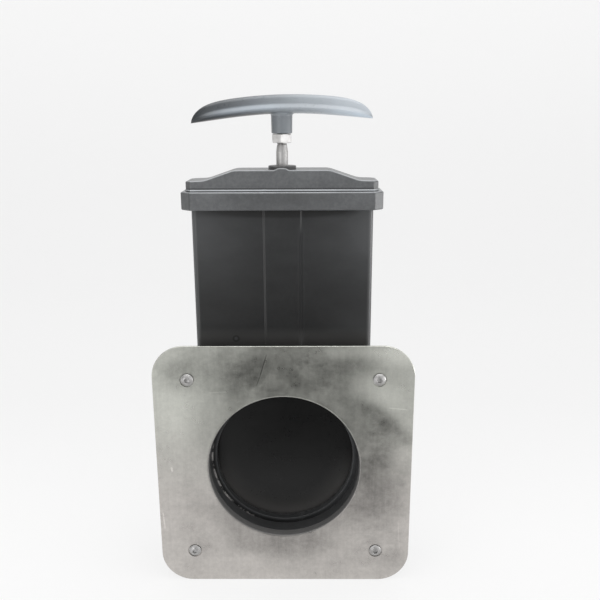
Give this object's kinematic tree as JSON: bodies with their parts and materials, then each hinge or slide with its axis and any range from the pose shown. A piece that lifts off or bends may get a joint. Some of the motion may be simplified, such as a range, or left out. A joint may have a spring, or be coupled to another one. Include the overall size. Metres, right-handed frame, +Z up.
{
  "type": "slide-gate waste drain valve",
  "caption": "Manual slide-gate drain valve: square steel flange plate, black body with an upright gate housing, capped top, and a steel shaft with a curved pull handle.",
  "frame": {"origin": "centre of the opening, on the front face of the flange plate", "axes": "-Y out of the opening towards the front, +Z up along the gate's shaft, +X across to the right seen from the front"},
  "size_m": [0.194, 0.0937, 0.3688],
  "materials": {
    "plate_steel": "cold-rolled stainless sheet, dull and cloudy",
    "body_black": "satin moulded black plastic",
    "flange_black": "satin moulded black plastic",
    "cap_grey": "satin moulded dark grey plastic",
    "gate_black": "smooth moulded black plastic",
    "seal_rubber": "matt black rubber",
    "bushing_black": "matt black plastic",
    "fastener_steel": "plain stainless steel",
    "shaft_steel": "drawn and polished stainless steel",
    "handle_plastic": "semi-gloss blue-grey plastic"
  },
  "bodies": {
    "valve": {"flange_plate": "plate_steel", "front_flange": "flange_black", "valve_body": "body_black", "rear_flange": "flange_black", "front_seal": "seal_rubber", "rear_seal": "seal_rubber", "top_collar": "cap_grey", "end_cap": "cap_grey", "gland_bushing": "bushing_black", "shaft_seal": "seal_rubber", "flange_bolt_1": "fastener_steel", "flange_bolt_2": "fastener_steel", "flange_bolt_3": "fastener_steel", "flange_bolt_4": "fastener_steel", "flange_washer_1": "fastener_steel", "flange_washer_2": "fastener_steel", "flange_washer_3": "fastener_steel", "flange_washer_4": "fastener_steel", "flange_nut_1": "fastener_steel", "flange_nut_2": "fastener_steel", "flange_nut_3": "fastener_steel", "flange_nut_4": "fastener_steel"},
    "gate": {"gate_paddle": "gate_black", "gate_shaft": "shaft_steel", "shaft_pin": "fastener_steel", "jam_nut": "shaft_steel", "pull_handle": "handle_plastic"}
  },
  "joints": [
    {"name": "gate_slide", "type": "slide", "parent": "valve", "child": "gate", "axis": [0, 0, 1], "range_m": [0, 0.112]}
  ]
}
